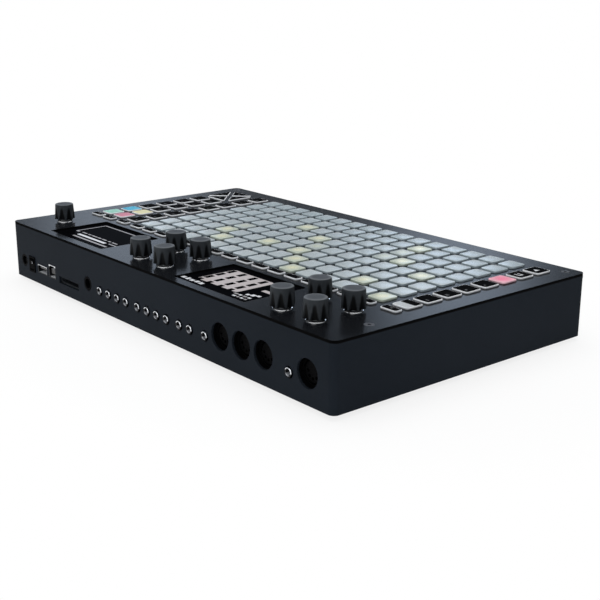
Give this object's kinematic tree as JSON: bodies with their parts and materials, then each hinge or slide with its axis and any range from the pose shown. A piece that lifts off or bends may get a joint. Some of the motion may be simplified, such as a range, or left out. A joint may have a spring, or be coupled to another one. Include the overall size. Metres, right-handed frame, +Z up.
{
  "type": "hardware sequencer",
  "caption": "Flat desktop grid sequencer with a field of square pads, columns of keys, two recessed displays, push-and-turn knobs and a rear row of sockets.",
  "frame": {"origin": "under the middle of the part, on the surface that it stands on", "axes": "+Z up, +X to the player's right, +Y to the rear sockets"},
  "size_m": [0.346, 0.2012, 0.0548],
  "materials": {
    "case_paint": "satin",
    "plate_satin": "satin dark",
    "screw_black": "black",
    "foot_rubber": "matte",
    "board": "matte",
    "spacer_metal": "plain",
    "mat_silicone": "matte",
    "display_black": "gloss",
    "encoder_steel": "plain",
    "nut_bright": "bright",
    "socket_black": "matte",
    "sleeve_bright": "bright",
    "switch_black": "satin",
    "port_steel": "bright",
    "card_steel": "plain",
    "key_white": "matte",
    "pad_white": "matte",
    "knob_black": "soft matte",
    "shaft_steel": "plain",
    "rotor_plastic": "plain"
  },
  "bodies": {
    "chassis": {"case_tray": "case_paint", "top_plate": "plate_satin", "plate_screws": "screw_black", "rubber_feet": "foot_rubber", "control_board": "board", "main_board": "board", "board_spacers": "spacer_metal", "keypad_mat": "mat_silicone", "display_modules": "display_black", "encoder_bodies": "encoder_steel", "encoder_nuts": "nut_bright", "din_sockets": "socket_black", "minijack_bodies": "socket_black", "minijack_sleeves": "sleeve_bright", "pedal_jack": "socket_black", "dc_inlet": "socket_black", "switch_body": "switch_black", "usb_host_port": "port_steel", "usb_device_port": "port_steel", "card_slot": "card_steel"},
    "pad_row_1": {"pad_row_1": "pad_white"},
    "pad_row_2": {"pad_row_2": "pad_white"},
    "pad_row_3": {"pad_row_3": "pad_white"},
    "pad_row_4": {"pad_row_4": "pad_white"},
    "pad_row_5": {"pad_row_5": "pad_white"},
    "pad_row_6": {"pad_row_6": "pad_white"},
    "pad_row_7": {"pad_row_7": "pad_white"},
    "pad_row_8": {"pad_row_8": "pad_white"},
    "left_keys": {"left_keys": "key_white"},
    "top_keys": {"top_keys": "key_white"},
    "right_keys": {"right_keys": "key_white"},
    "arrow_keys": {"arrow_keys": "key_white"},
    "rotor_1": {"encoder_rotor_1": "rotor_plastic"},
    "knob_1": {"knob_1": "knob_black", "encoder_shaft_1": "shaft_steel"},
    "rotor_2": {"encoder_rotor_2": "rotor_plastic"},
    "knob_2": {"knob_2": "knob_black", "encoder_shaft_2": "shaft_steel"},
    "rotor_3": {"encoder_rotor_3": "rotor_plastic"},
    "knob_3": {"knob_3": "knob_black", "encoder_shaft_3": "shaft_steel"},
    "rotor_4": {"encoder_rotor_4": "rotor_plastic"},
    "knob_4": {"knob_4": "knob_black", "encoder_shaft_4": "shaft_steel"},
    "rotor_5": {"encoder_rotor_5": "rotor_plastic"},
    "knob_5": {"knob_5": "knob_black", "encoder_shaft_5": "shaft_steel"},
    "rotor_6": {"encoder_rotor_6": "rotor_plastic"},
    "knob_6": {"knob_6": "knob_black", "encoder_shaft_6": "shaft_steel"},
    "rotor_7": {"encoder_rotor_7": "rotor_plastic"},
    "knob_7": {"knob_7": "knob_black", "encoder_shaft_7": "shaft_steel"},
    "rotor_8": {"encoder_rotor_8": "rotor_plastic"},
    "knob_8": {"knob_8": "knob_black", "encoder_shaft_8": "shaft_steel"},
    "rotor_9": {"encoder_rotor_9": "rotor_plastic"},
    "knob_9": {"knob_9": "knob_black", "encoder_shaft_9": "shaft_steel"},
    "power_rocker": {"power_rocker": "switch_black"}
  },
  "joints": [
    {"name": "pad_row_1_press", "type": "slide", "parent": "chassis", "child": "pad_row_1", "axis": [0, 0, -1], "range_m": [0, 0.001], "stiffness_N_per_m": 3000, "springref_m": -0.0005},
    {"name": "pad_row_2_press", "type": "slide", "parent": "chassis", "child": "pad_row_2", "axis": [0, 0, -1], "range_m": [0, 0.001], "stiffness_N_per_m": 3000, "springref_m": -0.0005},
    {"name": "pad_row_3_press", "type": "slide", "parent": "chassis", "child": "pad_row_3", "axis": [0, 0, -1], "range_m": [0, 0.001], "stiffness_N_per_m": 3000, "springref_m": -0.0005},
    {"name": "pad_row_4_press", "type": "slide", "parent": "chassis", "child": "pad_row_4", "axis": [0, 0, -1], "range_m": [0, 0.001], "stiffness_N_per_m": 3000, "springref_m": -0.0005},
    {"name": "pad_row_5_press", "type": "slide", "parent": "chassis", "child": "pad_row_5", "axis": [0, 0, -1], "range_m": [0, 0.001], "stiffness_N_per_m": 3000, "springref_m": -0.0005},
    {"name": "pad_row_6_press", "type": "slide", "parent": "chassis", "child": "pad_row_6", "axis": [0, 0, -1], "range_m": [0, 0.001], "stiffness_N_per_m": 3000, "springref_m": -0.0005},
    {"name": "pad_row_7_press", "type": "slide", "parent": "chassis", "child": "pad_row_7", "axis": [0, 0, -1], "range_m": [0, 0.001], "stiffness_N_per_m": 3000, "springref_m": -0.0005},
    {"name": "pad_row_8_press", "type": "slide", "parent": "chassis", "child": "pad_row_8", "axis": [0, 0, -1], "range_m": [0, 0.001], "stiffness_N_per_m": 3000, "springref_m": -0.0005},
    {"name": "left_keys_press", "type": "slide", "parent": "chassis", "child": "left_keys", "axis": [0, 0, -1], "range_m": [0, 0.001], "stiffness_N_per_m": 3000, "springref_m": -0.0005},
    {"name": "top_keys_press", "type": "slide", "parent": "chassis", "child": "top_keys", "axis": [0, 0, -1], "range_m": [0, 0.001], "stiffness_N_per_m": 3000, "springref_m": -0.0005},
    {"name": "right_keys_press", "type": "slide", "parent": "chassis", "child": "right_keys", "axis": [0, 0, -1], "range_m": [0, 0.001], "stiffness_N_per_m": 3000, "springref_m": -0.0005},
    {"name": "arrow_keys_press", "type": "slide", "parent": "chassis", "child": "arrow_keys", "axis": [0, 0, -1], "range_m": [0, 0.001], "stiffness_N_per_m": 3000, "springref_m": -0.0005},
    {"name": "knob_1_turn", "type": "hinge", "parent": "chassis", "child": "rotor_1", "pos_m": [-0.14213, 0.08437, 0.0405], "axis": [0, 0, 1], "continuous": true},
    {"name": "knob_1_push", "type": "slide", "parent": "rotor_1", "child": "knob_1", "axis": [0, 0, -1], "range_m": [0, 0.0006], "stiffness_N_per_m": 4000, "springref_m": -0.0005},
    {"name": "knob_2_turn", "type": "hinge", "parent": "chassis", "child": "rotor_2", "pos_m": [-0.11522, 0.08437, 0.0405], "axis": [0, 0, 1], "continuous": true},
    {"name": "knob_2_push", "type": "slide", "parent": "rotor_2", "child": "knob_2", "axis": [0, 0, -1], "range_m": [0, 0.0006], "stiffness_N_per_m": 4000, "springref_m": -0.0005},
    {"name": "knob_3_turn", "type": "hinge", "parent": "chassis", "child": "rotor_3", "pos_m": [-0.14213, 0.05807, 0.0405], "axis": [0, 0, 1], "continuous": true},
    {"name": "knob_3_push", "type": "slide", "parent": "rotor_3", "child": "knob_3", "axis": [0, 0, -1], "range_m": [0, 0.0006], "stiffness_N_per_m": 4000, "springref_m": -0.0005},
    {"name": "knob_4_turn", "type": "hinge", "parent": "chassis", "child": "rotor_4", "pos_m": [-0.11522, 0.05807, 0.0405], "axis": [0, 0, 1], "continuous": true},
    {"name": "knob_4_push", "type": "slide", "parent": "rotor_4", "child": "knob_4", "axis": [0, 0, -1], "range_m": [0, 0.0006], "stiffness_N_per_m": 4000, "springref_m": -0.0005},
    {"name": "knob_5_turn", "type": "hinge", "parent": "chassis", "child": "rotor_5", "pos_m": [-0.00232, 0.08437, 0.0405], "axis": [0, 0, 1], "continuous": true},
    {"name": "knob_5_push", "type": "slide", "parent": "rotor_5", "child": "knob_5", "axis": [0, 0, -1], "range_m": [0, 0.0006], "stiffness_N_per_m": 4000, "springref_m": -0.0005},
    {"name": "knob_6_turn", "type": "hinge", "parent": "chassis", "child": "rotor_6", "pos_m": [0.02457, 0.08437, 0.0405], "axis": [0, 0, 1], "continuous": true},
    {"name": "knob_6_push", "type": "slide", "parent": "rotor_6", "child": "knob_6", "axis": [0, 0, -1], "range_m": [0, 0.0006], "stiffness_N_per_m": 4000, "springref_m": -0.0005},
    {"name": "knob_7_turn", "type": "hinge", "parent": "chassis", "child": "rotor_7", "pos_m": [-0.00232, 0.05807, 0.0405], "axis": [0, 0, 1], "continuous": true},
    {"name": "knob_7_push", "type": "slide", "parent": "rotor_7", "child": "knob_7", "axis": [0, 0, -1], "range_m": [0, 0.0006], "stiffness_N_per_m": 4000, "springref_m": -0.0005},
    {"name": "knob_8_turn", "type": "hinge", "parent": "chassis", "child": "rotor_8", "pos_m": [0.02457, 0.05807, 0.0405], "axis": [0, 0, 1], "continuous": true},
    {"name": "knob_8_push", "type": "slide", "parent": "rotor_8", "child": "knob_8", "axis": [0, 0, -1], "range_m": [0, 0.0006], "stiffness_N_per_m": 4000, "springref_m": -0.0005},
    {"name": "knob_9_turn", "type": "hinge", "parent": "chassis", "child": "rotor_9", "pos_m": [0.14808, 0.07122, 0.0405], "axis": [0, 0, 1], "continuous": true},
    {"name": "knob_9_push", "type": "slide", "parent": "rotor_9", "child": "knob_9", "axis": [0, 0, -1], "range_m": [0, 0.0006], "stiffness_N_per_m": 4000, "springref_m": -0.0005},
    {"name": "power_rocker_turn", "type": "hinge", "parent": "chassis", "child": "power_rocker", "pos_m": [0.14633, 0.09787, 0.0153], "axis": [1, 0, 0], "range_deg": [0, 14]}
  ]
}
